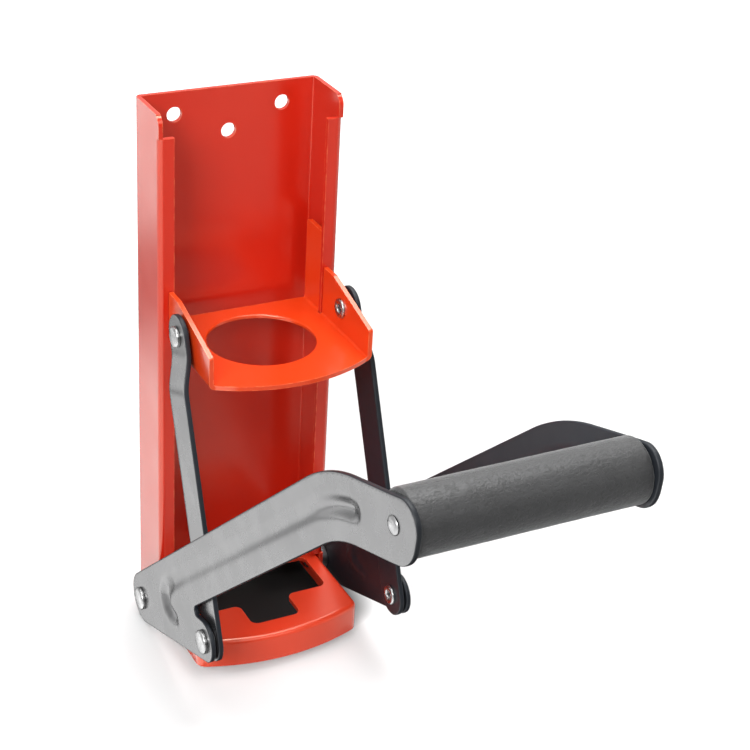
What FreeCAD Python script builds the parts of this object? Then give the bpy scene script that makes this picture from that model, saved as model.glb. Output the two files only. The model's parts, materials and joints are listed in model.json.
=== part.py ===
import FreeCAD, Part
import math
import os

# Wall-mounted lever can crusher, in millimetres.
# Frame of the part: X runs along the wall to the right, +Y points into the wall
# and Z is up.  The wall plane is y = 0, so everything stands in front of it at
# negative y.  "depth" below is the distance forward of the wall, y = -depth.
# The underside of the channel and of the base tray is z = 0.
# The shapes are drawn with the lever raised, ready to take a can.

# ---- back channel, folded from sheet steel ---------------------------------
FRAME_WIDTH = 84.0
FRAME_HEIGHT = 248.0
FRAME_DEPTH = 28.0
FRAME_SHEET = 2.0
FRAME_BEND = 2.6            # outside radius of the folds
LIP_WIDTH = 7.0             # front lips that keep the crush plate in
LIP_TOP_GAP = 10.0          # walls run on above the lips by this much
LIP_FOOT_GAP = 1.2          # lips end this far above the base tray
WALL_CORNER = 5.0           # rounded top front corner of each wall
SCREW_HOLE = 6.8            # diameter of the wall screw holes
SCREW_SPACING = 50.0        # between the upper pair of holes
SCREW_TOP = 10.0            # upper pair below the top edge
SCREW_LOW = 20.0            # middle hole below the top edge

# ---- base tray --------------------------------------------------------------
BASE_HEIGHT = 13.8
BASE_SHEET = 2.0
BASE_SIDE_DEPTH = 70.5      # depth of the front corners
BASE_BOW = 8.0              # how far the front bulges past the corners
BASE_CORNER = 5.0
BASE_TOP_EDGE = 2.4         # outside radius along the top edge
BASE_FIT = 0.2              # tray to channel wall, each side
CROSS_CENTRE = 38.5         # depth of the middle of the cross-shaped opening
CROSS_SIDE_MARGIN = 7.35    # opening to each side of the tray
CROSS_REACH_FRONT = 29.0
CROSS_ARM_SIDE = 26.0       # width of the arms that point sideways
CROSS_ARM_FRONT = 24.0      # width of the arms that point front and back
CROSS_CORNER = 3.5

# ---- crush plate, a bent U of sheet steel -----------------------------------
PLATE_TOP = 145.8           # height of its upper face with the lever raised
PLATE_SHEET = 2.0
PLATE_WALL_GAP = 2.3        # flap to the channel wall beside it
PLATE_BEND = 3.0
PLATE_REAR = 9.7            # depth of its rear edge
PLATE_FRONT = 74.2          # depth of the front edge of its side flaps
PLATE_BOW = 9.6             # how far the front bulges past the flaps
PLATE_BOW_INSET = 2.5       # the bulge starts this far inside the flaps
PLATE_HOLE = 48.0
PLATE_HOLE_DEPTH = 42.1
PLATE_HOLE_EDGE = 0.7       # rolled edge of the hole
FLAP_REAR_HEIGHT = 22.7     # above the plate's upper face
FLAP_FRONT_HEIGHT = 12.8
FLAP_FLAT_END = 38.0        # depth where the flap's top starts to slope down
EAR_HEIGHT = 38.7           # guide ears behind the lips
GUIDE_GAP = 0.4             # plate to lips, all round

# ---- linkage, as (depth, height) of its pivots ------------------------------
FRAME_PIVOT = (20.2, 7.5)
LINK_PIVOT = (96.2, 34.2)
PLATE_PIVOT_DEPTH = 46.7
PLATE_PIVOT_RISE = 10.9     # above the plate's upper face
HANDLE_PIVOT = (255.1, 188.9)

# ---- arms --------------------------------------------------------------------
ARM_SHEET = 2.2
ARM_HEEL = 12.0             # radius round the frame pivot
ARM_TAB = 9.4               # radius round the link pivot
ARM_NOTCH = 2.4             # radius of the notch above the tab
ARM_NOTCH_GAP = 1.4
ARM_BEND_CENTRE = (257.7, 90.4)
ARM_BEND_INNER = 80.0
ARM_BEND_OUTER = 105.0
ARM_TIP_LOWER = 13.8        # radius round the handle pivot
ARM_TIP_UPPER = 9.0
ARM_TIP_SHIFT = (5.2, 3.3)  # upper tip radius from the handle pivot
ARM_EDGE = 0.4
BEAD_OFFSET = 0.2           # pressed bead above the arm's middle line
BEAD_WIDTH = 8.2
BEAD_DEPTH = 1.1
RIDGE_WIDTH = 7.0           # the same bead where it stands out inside
RIDGE_HEIGHT = 0.7
RIDGE_ROOT = 0.75           # how far the ridge reaches into the sheet
BEAD_FRONT_ANGLE = 108.4    # where it ends, round the bend, in degrees
BEAD_HOOK_START = 41.0      # distance from the frame pivot to its rear hook
BEAD_HOOK_RADIUS = 7.0
BEAD_HOOK_SWEEP = 153.4
BEAD_TAIL = 9.0             # straight run after the hook

# ---- links -------------------------------------------------------------------
LINK_SHEET = 2.2
LINK_WIDTH = 19.0
LINK_WALL_GAP = 0.6         # link to the channel wall it passes
LINK_FLAP_GAP = 1.4         # link to the crush plate's flap
JOGGLE_END = 6.0            # flat eye ends this far from the plate pivot
JOGGLE_LENGTH = 19.0
LINK_EDGE = 0.3

# ---- rivets, washers and handle ----------------------------------------------
RIVET_SHANK = 6.0
RIVET_HEAD = 10.8
RIVET_HEAD_HEIGHT = 2.0
RIVET_HEAD_ROUNDING = 1.2   # along the rim of the flat head
RIVET_TAIL = 9.0
PIVOT_TAIL = 8.2            # the same inside the tray, under its top
RIVET_TAIL_HEIGHT = 1.3
RIVET_TAIL_ROUNDING = 0.9
RIVET_BORE = 4.0            # hollow end that is rolled over
RIVET_BORE_LENGTH = 3.6
UPPER_BORE_FLOOR = 0.5      # metal left at the end of the plate rivet's bore
UPPER_HEAD = 9.4
RIVET_SPLIT = 0.3           # between the halves of the plate rivet
PIVOT_FIT = 0.06            # radial running fit of shanks in their holes
FACE_GAP = 0.05             # between faces that turn on each other
SPACER_LENGTH = 3.95
SPACER_WIDTH = 12.0
WASHER_WIDTH = 13.0
GRIP_DIAMETER = 24.6
GRIP_END_GAP = 0.35         # foam to each arm
GRIP_ROUNDING = 2.2
BAR_DIAMETER = 12.7
BAR_TENON = 6.0
BAR_HEAD = 8.0
BAR_HEAD_HEIGHT = 1.0

# ---- derived sizes -----------------------------------------------------------
FRAME_HALF = FRAME_WIDTH / 2
WALL_INSIDE = FRAME_HALF - FRAME_SHEET
LIP_INSIDE = FRAME_HALF - LIP_WIDTH
LIP_REAR = FRAME_DEPTH - FRAME_SHEET
LIP_TOP = FRAME_HEIGHT - LIP_TOP_GAP
LIP_FOOT = BASE_HEIGHT + LIP_FOOT_GAP
BASE_HALF = WALL_INSIDE - BASE_FIT
BASE_REAR = FRAME_SHEET + BASE_FIT
CROSS_REACH_SIDE = BASE_HALF - CROSS_SIDE_MARGIN
PLATE_BOTTOM = PLATE_TOP - PLATE_SHEET
PLATE_HALF_WIDTH = WALL_INSIDE - PLATE_WALL_GAP
PLATE_BOW_HALF = PLATE_HALF_WIDTH - PLATE_BOW_INSET
PLATE_PIVOT = (PLATE_PIVOT_DEPTH, PLATE_TOP + PLATE_PIVOT_RISE)
FLAP_INSIDE = PLATE_HALF_WIDTH - PLATE_SHEET
ARM_INSIDE = FRAME_HALF + SPACER_LENGTH + FACE_GAP
ARM_OUTSIDE = ARM_INSIDE + ARM_SHEET
LINK_INSIDE = FRAME_HALF + LINK_WALL_GAP
LINK_OUTSIDE = LINK_INSIDE + LINK_SHEET
EYE_INSIDE = PLATE_HALF_WIDTH + LINK_FLAP_GAP
EYE_OUTSIDE = EYE_INSIDE + LINK_SHEET
HOLE = RIVET_SHANK + 2 * PIVOT_FIT


# ---- helpers -------------------------------------------------------------------
def at(x, depth, z):
    """A point given by its distance forward of the wall."""
    return FreeCAD.Vector(x, -depth, z)


def block(x0, x1, depth0, depth1, z0, z1):
    corner = at(x0, depth1, z0)
    return Part.makeBox(x1 - x0, depth1 - depth0, z1 - z0, corner)


def mirrored(shape):
    """The left-hand twin of a right-hand piece."""
    return shape.mirror(at(0, 0, 0), FreeCAD.Vector(1, 0, 0))


def cross_pin(pivot, diameter, x0, x1):
    """A cylinder along X about a (depth, height) pivot."""
    return Part.makeCylinder(diameter / 2, x1 - x0, at(x0, *pivot), FreeCAD.Vector(1, 0, 0))


def upright_edges(shape):
    """Edges along Z."""
    return [edge for edge in shape.Edges
            if edge.BoundBox.XLength < 0.01 and edge.BoundBox.YLength < 0.01]


def tangent_chain(circles):
    """Closed outline round circles (a, b, radius), joined by their common tangents.

    It runs counter-clockwise.  A positive radius is a round corner, a negative
    one is a hollow.  Returns its pieces as lists of 2 or 3 points.
    """
    headings = []
    count = len(circles)
    for i, (a0, b0, r0) in enumerate(circles):
        a1, b1, r1 = circles[(i + 1) % count]
        span = math.hypot(a1 - a0, b1 - b0)
        heading = math.atan2(b1 - b0, a1 - a0) - math.asin((r1 - r0) / span)
        headings.append(heading)
    pieces = []
    for i, (a, b, r) in enumerate(circles):
        start = headings[i - 1]
        turn = (headings[i] - start) % (2 * math.pi)
        if r < 0:
            turn -= 2 * math.pi
        arc = []
        for share in (0.0, 0.5, 1.0):
            angle = start + share * turn
            arc.append((a + r * math.sin(angle), b - r * math.cos(angle)))
        pieces.append(arc)
        a1, b1, r1 = circles[(i + 1) % count]
        end = (a1 + r1 * math.sin(headings[i]), b1 - r1 * math.cos(headings[i]))
        pieces.append([arc[-1], end])
    return pieces


def outline_face(pieces, place):
    """Face from 2-point lines and 3-point arcs, put into space by place(a, b)."""
    edges = []
    for points in pieces:
        placed = [place(*point) for point in points]
        if placed[0].distanceToPoint(placed[-1]) < 1e-4:
            continue
        if len(placed) == 2:
            edges.append(Part.makeLine(*placed))
        else:
            edges.append(Part.Arc(*placed).toShape())
    return Part.Face(Part.Wire(edges))


def side_plate(circles, x0, x1):
    """Prism along X with a side view made of tangent circles."""
    face = outline_face(tangent_chain(circles), lambda depth, z: at(x0, depth, z))
    return face.extrude(FreeCAD.Vector(x1 - x0, 0, 0))


def lens_radius(width, depth):
    """Radius of the tube that presses a groove this wide and this deep."""
    return (width * width / 4 + depth * depth) / (2 * depth)


def dome(pivot, diameter, height, x, outward):
    """Low domed head that stands on the plane x and bulges along outward."""
    radius = lens_radius(diameter, height)
    centre = at(x - outward * (radius - height), *pivot)
    ball = Part.makeSphere(radius, centre)
    low = min(x, x + outward * height)
    return ball.common(cross_pin(pivot, diameter, low, low + height))


def rim_edges(disc, x):
    """Circular edges of a disc about X that lie in the plane x."""
    return [edge for edge in disc.Edges
            if isinstance(edge.Curve, Part.Circle)
            and abs(edge.BoundBox.XMin - x) < 0.01 and abs(edge.BoundBox.XMax - x) < 0.01]


def flat_head(pivot, diameter, x):
    """Right-hand rivet head: a flat button on the plane x with a rounded rim."""
    button = cross_pin(pivot, diameter, x, x + RIVET_HEAD_HEIGHT)
    return button.makeFillet(RIVET_HEAD_ROUNDING, rim_edges(button, x + RIVET_HEAD_HEIGHT))


# ---- frame ---------------------------------------------------------------------
def frame_channel():
    outer = block(-FRAME_HALF, FRAME_HALF, 0, FRAME_DEPTH, 0, FRAME_HEIGHT)
    outer = outer.makeFillet(FRAME_BEND, upright_edges(outer))
    inner = block(-WALL_INSIDE, WALL_INSIDE, FRAME_SHEET, LIP_REAR, 0, FRAME_HEIGHT)
    inner = inner.makeFillet(FRAME_BEND - FRAME_SHEET, upright_edges(inner))
    channel = outer.cut(inner)
    mouth = block(-LIP_INSIDE, LIP_INSIDE, LIP_REAR - 1, FRAME_DEPTH + 1, -1, FRAME_HEIGHT + 1)
    channel = channel.cut(mouth)
    bend_depth = FRAME_DEPTH - FRAME_BEND
    for low, high in ((-1, LIP_FOOT), (LIP_TOP, FRAME_HEIGHT + 1)):
        strip = block(-FRAME_WIDTH, FRAME_WIDTH, bend_depth, FRAME_DEPTH + 1, low, high)
        channel = channel.cut(strip)
    channel = channel.fuse([wall_end(side, bend_depth) for side in (-1, 1)])
    channel = channel.fuse([wall_foot(side, bend_depth) for side in (-1, 1)])
    channel = channel.removeSplitter()
    tools = [screw_hole(x, drop) for x, drop in screw_places()]
    tools.append(cross_pin(FRAME_PIVOT, HOLE, -FRAME_WIDTH, FRAME_WIDTH))
    return channel.cut(tools)


def wall_end(side, rear):
    """Flat end of a wall above its lip, with a rounded corner."""
    inside = side * WALL_INSIDE
    outside = side * FRAME_HALF
    end = block(min(inside, outside), max(inside, outside), rear - WALL_CORNER,
                FRAME_DEPTH, LIP_TOP, FRAME_HEIGHT)
    corner = [edge for edge in end.Edges
              if edge.BoundBox.YLength < 0.01 and edge.BoundBox.ZLength < 0.01
              and edge.BoundBox.Center.z > FRAME_HEIGHT - 0.01
              and -edge.BoundBox.Center.y > FRAME_DEPTH - 0.01]
    return end.makeFillet(WALL_CORNER, corner)


def wall_foot(side, rear):
    """Flat end of a wall below its lip, beside the base tray."""
    inside = side * WALL_INSIDE
    outside = side * FRAME_HALF
    return block(min(inside, outside), max(inside, outside), rear, FRAME_DEPTH, 0, LIP_FOOT)


def screw_places():
    """(x, drop below the top edge) of the three screw holes."""
    half = SCREW_SPACING / 2
    return [(-half, SCREW_TOP), (half, SCREW_TOP), (0.0, SCREW_LOW)]


def screw_hole(x, drop):
    start = at(x, -1, FRAME_HEIGHT - drop)
    return Part.makeCylinder(SCREW_HOLE / 2, FRAME_SHEET + 2, start, FreeCAD.Vector(0, -1, 0))


def bowed_outline(half, rear, side_depth, bow, corner, shrink=0.0):
    """Plan view with a straight rear and a front that bulges, as outline pieces."""
    front_radius = (half * half + bow * bow) / (2 * bow)
    centre_depth = side_depth + bow - front_radius
    half = half - shrink
    corner = corner - shrink
    reach = front_radius - shrink
    across = half - corner
    along = centre_depth + math.sqrt((reach - corner) ** 2 - across ** 2)
    touch = (half - corner) / (reach - corner)
    touch_side = reach * touch
    touch_depth = centre_depth + math.sqrt(reach ** 2 - touch_side ** 2)
    middle = math.atan2(touch_depth - along, touch_side - across) / 2
    turn_side = across + corner * math.cos(middle)
    turn_depth = along + corner * math.sin(middle)
    return [
        [(-half, rear), (half, rear)],
        [(half, rear), (half, along)],
        [(half, along), (turn_side, turn_depth), (touch_side, touch_depth)],
        [(touch_side, touch_depth), (0.0, centre_depth + reach), (-touch_side, touch_depth)],
        [(-touch_side, touch_depth), (-turn_side, turn_depth), (-half, along)],
        [(-half, along), (-half, rear)],
    ]


def base_tray():
    plan = bowed_outline(BASE_HALF, BASE_REAR, BASE_SIDE_DEPTH, BASE_BOW, BASE_CORNER)
    block_out = outline_face(plan, lambda x, depth: at(x, depth, 0))
    body = block_out.extrude(FreeCAD.Vector(0, 0, BASE_HEIGHT))
    rim = [edge for edge in body.Edges
           if edge.BoundBox.ZMin > BASE_HEIGHT - 0.01
           and -edge.BoundBox.Center.y > BASE_REAR + 0.01]
    body = body.makeFillet(BASE_TOP_EDGE, rim)
    hollow_plan = bowed_outline(BASE_HALF, BASE_REAR - 1, BASE_SIDE_DEPTH, BASE_BOW,
                                BASE_CORNER, BASE_SHEET)
    hollow = outline_face(hollow_plan, lambda x, depth: at(x, depth, -1))
    hollow = hollow.extrude(FreeCAD.Vector(0, 0, BASE_HEIGHT - BASE_SHEET + 1))
    body = body.cut(hollow).cut(cross_opening())
    return body.cut(cross_pin(FRAME_PIVOT, HOLE, -BASE_HALF - 1, BASE_HALF + 1))


def cross_opening():
    """Cross-shaped opening that lets the can seat and drain."""
    low = BASE_HEIGHT - BASE_SHEET - 1
    high = BASE_HEIGHT + 1
    arms = []
    for side, front in ((CROSS_REACH_SIDE, CROSS_ARM_SIDE / 2),
                        (CROSS_ARM_FRONT / 2, CROSS_REACH_FRONT)):
        arms.append(block(-side, side, CROSS_CENTRE - front, CROSS_CENTRE + front, low, high))
    cross = arms[0].fuse(arms[1]).removeSplitter()
    return cross.makeFillet(CROSS_CORNER, upright_edges(cross))


# ---- crush plate -----------------------------------------------------------------
def crush_plate():
    front = PLATE_FRONT + PLATE_BOW
    top = PLATE_TOP + EAR_HEIGHT
    outer = block(-PLATE_HALF_WIDTH, PLATE_HALF_WIDTH, PLATE_REAR, front,
                  PLATE_BOTTOM, top + PLATE_BEND)
    outer = outer.makeFillet(PLATE_BEND, lower_side_edges(outer, PLATE_HALF_WIDTH))
    inner = block(-FLAP_INSIDE, FLAP_INSIDE, PLATE_REAR - 1, front + 1,
                  PLATE_TOP, top + PLATE_BEND + 1)
    inner = inner.makeFillet(PLATE_BEND - PLATE_SHEET, lower_side_edges(inner, FLAP_INSIDE))
    trough = outer.cut(inner)
    kept = flap_side_view().fuse(plate_bulge())
    trough = trough.common(kept)
    notches = [guide_notch(side) for side in (-1, 1)]
    trough = trough.cut(notches)
    hole = Part.makeCylinder(PLATE_HOLE / 2, PLATE_SHEET + 2,
                             at(0, PLATE_HOLE_DEPTH, PLATE_BOTTOM - 1))
    trough = trough.cut(hole).removeSplitter()
    rim = [edge for edge in trough.Edges
           if isinstance(edge.Curve, Part.Circle)
           and abs(edge.Curve.Radius - PLATE_HOLE / 2) < 0.01]
    trough = trough.makeFillet(PLATE_HOLE_EDGE, rim)
    return trough.cut(cross_pin(PLATE_PIVOT, HOLE, -FRAME_WIDTH, FRAME_WIDTH))


def lower_side_edges(shape, x):
    """Bottom edges that run front to back at one distance from the middle."""
    low = shape.BoundBox.ZMin
    return [edge for edge in shape.Edges
            if abs(abs(edge.BoundBox.Center.x) - x) < 0.01
            and edge.BoundBox.ZMax < low + 0.01
            and edge.BoundBox.XLength < 0.01]


def flap_side_view():
    """Everything that the side view of the bent plate keeps, front bulge apart."""
    ear_top = PLATE_TOP + EAR_HEIGHT
    flap_rear = PLATE_TOP + FLAP_REAR_HEIGHT
    flap_front = PLATE_TOP + FLAP_FRONT_HEIGHT
    low = PLATE_BOTTOM - 1
    small = 1.2
    side = [
        (PLATE_REAR, low, 0.0),
        (PLATE_FRONT, low, 0.0),
        (PLATE_FRONT, flap_front, small),
        (FLAP_FLAT_END, flap_rear, 2 * small),
        (FRAME_DEPTH, flap_rear, 0.0),
        (FRAME_DEPTH, ear_top, small),
        (PLATE_REAR, ear_top, small),
    ]
    circles = rounded_corners(side)
    return side_plate(circles, -FRAME_WIDTH, FRAME_WIDTH)


def rounded_corners(corners):
    """Circles for tangent_chain that round the corners (a, b, radius) of a polygon."""
    circles = []
    count = len(corners)
    for i, (a, b, radius) in enumerate(corners):
        before = corners[i - 1]
        after = corners[(i + 1) % count]
        heading_in = math.atan2(b - before[1], a - before[0])
        heading_out = math.atan2(after[1] - b, after[0] - a)
        turn = math.remainder(heading_out - heading_in, 2 * math.pi)
        middle = heading_in + turn / 2
        inward = math.copysign(radius, turn) / math.cos(turn / 2)
        circles.append((a - inward * math.sin(middle), b + inward * math.cos(middle),
                        math.copysign(radius, turn)))
    return circles


def plate_bulge():
    """Front of the plate, bowed past the flaps."""
    front_radius = (PLATE_BOW_HALF ** 2 + PLATE_BOW ** 2) / (2 * PLATE_BOW)
    centre = at(0, PLATE_FRONT + PLATE_BOW - front_radius, PLATE_BOTTOM - 1)
    disc = Part.makeCylinder(front_radius, PLATE_SHEET + 1, centre)
    front = block(-PLATE_BOW_HALF, PLATE_BOW_HALF, PLATE_FRONT - 1,
                  PLATE_FRONT + PLATE_BOW + 1, PLATE_BOTTOM - 1, PLATE_TOP)
    return disc.common(front)


def guide_notch(side):
    """Slot in a flap and in the plate's edge that runs along a lip of the channel."""
    inside = side * (LIP_INSIDE - GUIDE_GAP)
    outside = side * FRAME_WIDTH
    return block(min(inside, outside), max(inside, outside), LIP_REAR - GUIDE_GAP,
                 FRAME_DEPTH + GUIDE_GAP, PLATE_BOTTOM - 1, FRAME_HEIGHT + EAR_HEIGHT)


# ---- lever -----------------------------------------------------------------------
def arm_heading():
    """Direction of the arm's straight stretch, from the frame pivot to the bend."""
    run = ARM_BEND_CENTRE[0] - FRAME_PIVOT[0]
    climb = ARM_BEND_CENTRE[1] - FRAME_PIVOT[1]
    middle = (ARM_BEND_INNER + ARM_BEND_OUTER) / 2
    return math.atan2(climb, run) + math.asin(middle / math.hypot(run, climb))


def arm_circles():
    heading = arm_heading()
    reach = ARM_TAB + ARM_NOTCH + ARM_NOTCH_GAP
    notch = (LINK_PIVOT[0] - reach * math.sin(heading), LINK_PIVOT[1] + reach * math.cos(heading))
    upper_tip = (HANDLE_PIVOT[0] + ARM_TIP_SHIFT[0], HANDLE_PIVOT[1] + ARM_TIP_SHIFT[1])
    return [
        (*FRAME_PIVOT, ARM_HEEL),
        (*LINK_PIVOT, ARM_TAB),
        (*notch, -ARM_NOTCH),
        (*ARM_BEND_CENTRE, -ARM_BEND_INNER),
        (*HANDLE_PIVOT, ARM_TIP_LOWER),
        (*upper_tip, ARM_TIP_UPPER),
        (*ARM_BEND_CENTRE, ARM_BEND_OUTER),
    ]


def bead_path(x):
    """Middle line of the pressed bead: round the bend, down the arm, a hook and its tail."""
    heading = arm_heading()
    along = (math.cos(heading), math.sin(heading))
    up = (-math.sin(heading), math.cos(heading))

    def on_arm(distance, offset):
        return at(x, FRAME_PIVOT[0] + distance * along[0] + offset * up[0],
                  FRAME_PIVOT[1] + distance * along[1] + offset * up[1])

    def round_bend(angle):
        radius = (ARM_BEND_INNER + ARM_BEND_OUTER) / 2 + BEAD_OFFSET
        return at(x, ARM_BEND_CENTRE[0] + radius * math.cos(angle),
                  ARM_BEND_CENTRE[1] + radius * math.sin(angle))

    def round_hook(angle):
        return on_arm(BEAD_HOOK_START + BEAD_HOOK_RADIUS * math.cos(angle),
                      BEAD_OFFSET - BEAD_HOOK_RADIUS + BEAD_HOOK_RADIUS * math.sin(angle))

    front = math.radians(BEAD_FRONT_ANGLE)
    rear = heading + math.pi / 2
    hook = math.pi / 2
    sweep = math.radians(BEAD_HOOK_SWEEP)
    bend = Part.Arc(round_bend(front), round_bend((front + rear) / 2), round_bend(rear))
    straight = Part.makeLine(round_bend(rear), round_hook(hook))
    turned = Part.Arc(round_hook(hook), round_hook(hook + sweep / 2), round_hook(hook + sweep))
    heel = on_arm(BEAD_HOOK_START + BEAD_HOOK_RADIUS * math.cos(hook + sweep)
                  - BEAD_TAIL * math.sin(hook + sweep),
                  BEAD_OFFSET - BEAD_HOOK_RADIUS + BEAD_HOOK_RADIUS * math.sin(hook + sweep)
                  + BEAD_TAIL * math.cos(hook + sweep))
    tail = Part.makeLine(round_hook(hook + sweep), heel)
    return Part.Wire([bend.toShape(), straight, turned.toShape(), tail])


def bead_tube(x, radius):
    """Round bar along the bead, with ball ends."""
    path = bead_path(x)
    ends = (path.Edges[0], path.Edges[-1])
    start = ends[0].valueAt(ends[0].FirstParameter)
    finish = ends[1].valueAt(ends[1].LastParameter)
    direction = ends[0].tangentAt(ends[0].FirstParameter)
    ring = Part.Wire(Part.makeCircle(radius, start, direction))
    tube = path.makePipeShell([ring], True, False)
    return [tube, Part.makeSphere(radius, start), Part.makeSphere(radius, finish)]


def arm_right():
    sheet = side_plate(arm_circles(), ARM_INSIDE, ARM_OUTSIDE)
    rims = [edge for edge in sheet.Edges if edge.BoundBox.XLength < 0.01]
    sheet = sheet.makeFillet(ARM_EDGE, rims)
    groove = lens_radius(BEAD_WIDTH, BEAD_DEPTH)
    ridge = lens_radius(RIDGE_WIDTH, RIDGE_HEIGHT)
    for piece in bead_tube(ARM_INSIDE - RIDGE_HEIGHT + ridge, ridge):
        slab = block(ARM_INSIDE - RIDGE_HEIGHT, ARM_INSIDE + RIDGE_ROOT, 0, FRAME_HEIGHT * 2,
                     -FRAME_HEIGHT, FRAME_HEIGHT * 2)
        sheet = sheet.fuse(piece.common(slab))
    for piece in bead_tube(ARM_OUTSIDE - BEAD_DEPTH + groove, groove):
        sheet = sheet.cut(piece)
    holes = [cross_pin(FRAME_PIVOT, HOLE, ARM_INSIDE - 1, ARM_OUTSIDE + 1),
             cross_pin(LINK_PIVOT, HOLE, ARM_INSIDE - 1, ARM_OUTSIDE + 1),
             cross_pin(HANDLE_PIVOT, BAR_TENON + 2 * PIVOT_FIT, ARM_INSIDE - 1, ARM_OUTSIDE + 1)]
    return sheet.cut(holes).removeSplitter()


def handle_bar():
    """Crossbar of the handle: its thinner ends go through the arms and are headed over."""
    inner = ARM_INSIDE - FACE_GAP
    outer = ARM_OUTSIDE + FACE_GAP
    bar = cross_pin(HANDLE_PIVOT, BAR_DIAMETER, -inner, inner)
    bar = bar.fuse(cross_pin(HANDLE_PIVOT, BAR_TENON, -outer, outer))
    for side in (-1, 1):
        bar = bar.fuse(dome(HANDLE_PIVOT, BAR_HEAD, BAR_HEAD_HEIGHT, side * outer, side))
    return bar


def foam_grip():
    end = ARM_INSIDE - GRIP_END_GAP
    sleeve = cross_pin(HANDLE_PIVOT, GRIP_DIAMETER, -end, end)
    rims = [edge for edge in sleeve.Edges if isinstance(edge.Curve, Part.Circle)]
    sleeve = sleeve.makeFillet(GRIP_ROUNDING, rims)
    return sleeve.cut(cross_pin(HANDLE_PIVOT, BAR_DIAMETER, -end - 1, end + 1))


# ---- links -----------------------------------------------------------------------
def link_right():
    half = LINK_WIDTH / 2
    strap = side_plate([(*LINK_PIVOT, half), (*PLATE_PIVOT, half)],
                       EYE_INSIDE - 1, LINK_OUTSIDE + 1)
    strap = strap.common(joggled_slab())
    holes = [cross_pin(pivot, HOLE, EYE_INSIDE - 2, LINK_OUTSIDE + 2)
             for pivot in (LINK_PIVOT, PLATE_PIVOT)]
    return strap.cut(holes)


def joggled_slab():
    """Sheet that steps inward from beside the channel wall to beside the flap."""
    run = PLATE_PIVOT[0] - LINK_PIVOT[0]
    climb = PLATE_PIVOT[1] - LINK_PIVOT[1]
    length = math.hypot(run, climb)
    along = (run / length, climb / length)
    across = (along[1], -along[0])
    step_low = length - JOGGLE_END - JOGGLE_LENGTH
    step_high = length - JOGGLE_END
    path = [
        (-LINK_WIDTH, LINK_INSIDE),
        (step_low, LINK_INSIDE),
        (step_high, EYE_INSIDE),
        (length + LINK_WIDTH, EYE_INSIDE),
        (length + LINK_WIDTH, EYE_OUTSIDE),
        (step_high, EYE_OUTSIDE),
        (step_low, LINK_OUTSIDE),
        (-LINK_WIDTH, LINK_OUTSIDE),
    ]
    points = []
    for distance, x in path + path[:1]:
        points.append(at(x, LINK_PIVOT[0] + distance * along[0] - LINK_WIDTH * across[0],
                         LINK_PIVOT[1] + distance * along[1] - LINK_WIDTH * across[1]))
    face = Part.Face(Part.makePolygon(points))
    width = 2 * LINK_WIDTH
    return face.extrude(at(0, width * across[0], width * across[1]))


# ---- rivets and washers ------------------------------------------------------------
def tubular_rivet(pivot, head, tail, tail_face, head_face):
    """Right-hand rivet: flat head outside, rolled hollow end inside."""
    shank = cross_pin(pivot, RIVET_SHANK, tail_face - RIVET_TAIL_HEIGHT, head_face)
    flange = rolled_tail(pivot, tail, tail_face)
    rivet = shank.fuse([flange, flat_head(pivot, head, head_face)])
    return rivet.cut(tail_bore(pivot, tail_face))


def rolled_tail(pivot, width, face):
    """Ring of the rolled-over end, standing inward of a face."""
    ring = cross_pin(pivot, width, face - RIVET_TAIL_HEIGHT, face)
    return ring.makeFillet(RIVET_TAIL_ROUNDING, rim_edges(ring, face - RIVET_TAIL_HEIGHT))


def tail_bore(pivot, face):
    start = face - RIVET_TAIL_HEIGHT
    return cross_pin(pivot, RIVET_BORE, start - 1, start + RIVET_BORE_LENGTH)


def pivot_rivet_right():
    return tubular_rivet(FRAME_PIVOT, RIVET_HEAD, PIVOT_TAIL, BASE_HALF - BASE_SHEET,
                         ARM_OUTSIDE + FACE_GAP)


def link_rivet_right():
    return tubular_rivet(LINK_PIVOT, RIVET_HEAD, RIVET_TAIL, LINK_INSIDE - FACE_GAP,
                         ARM_OUTSIDE + FACE_GAP)


def upper_rivet_right():
    """Headed half of the plate's rivet; it stays with the link."""
    shank = cross_pin(PLATE_PIVOT, RIVET_SHANK, EYE_INSIDE, EYE_OUTSIDE + FACE_GAP)
    return shank.fuse(flat_head(PLATE_PIVOT, UPPER_HEAD, EYE_OUTSIDE + FACE_GAP))


def upper_rivet_tail_right():
    """Rolled half of the plate's rivet; it stays with the flap."""
    stub = cross_pin(PLATE_PIVOT, RIVET_SHANK, FLAP_INSIDE - RIVET_TAIL_HEIGHT,
                     EYE_INSIDE - RIVET_SPLIT)
    tail = stub.fuse(rolled_tail(PLATE_PIVOT, RIVET_TAIL, FLAP_INSIDE))
    bore = cross_pin(PLATE_PIVOT, RIVET_BORE, FLAP_INSIDE - RIVET_TAIL_HEIGHT - 1,
                     PLATE_HALF_WIDTH - UPPER_BORE_FLOOR)
    return tail.cut(bore)


def ring_on_pivot(pivot, width, x0, x1):
    return cross_pin(pivot, width, x0, x1).cut(cross_pin(pivot, HOLE, x0 - 1, x1 + 1))


def pivot_spacer_right():
    return ring_on_pivot(FRAME_PIVOT, SPACER_WIDTH, FRAME_HALF, FRAME_HALF + SPACER_LENGTH)


def link_washer_right():
    return ring_on_pivot(LINK_PIVOT, WASHER_WIDTH, LINK_OUTSIDE + FACE_GAP, ARM_INSIDE)


# ---- write every piece to its own file -----------------------------------------------
SINGLE_PIECES = {
    "frame_channel": frame_channel,
    "base_tray": base_tray,
    "crush_plate": crush_plate,
    "handle_bar": handle_bar,
    "foam_grip": foam_grip,
}

SIDE_PIECES = {
    "arm": arm_right,
    "link": link_right,
    "pivot_rivet": pivot_rivet_right,
    "pivot_spacer": pivot_spacer_right,
    "link_rivet": link_rivet_right,
    "link_washer": link_washer_right,
    "upper_rivet": upper_rivet_right,
    "upper_rivet_tail": upper_rivet_tail_right,
}


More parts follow.
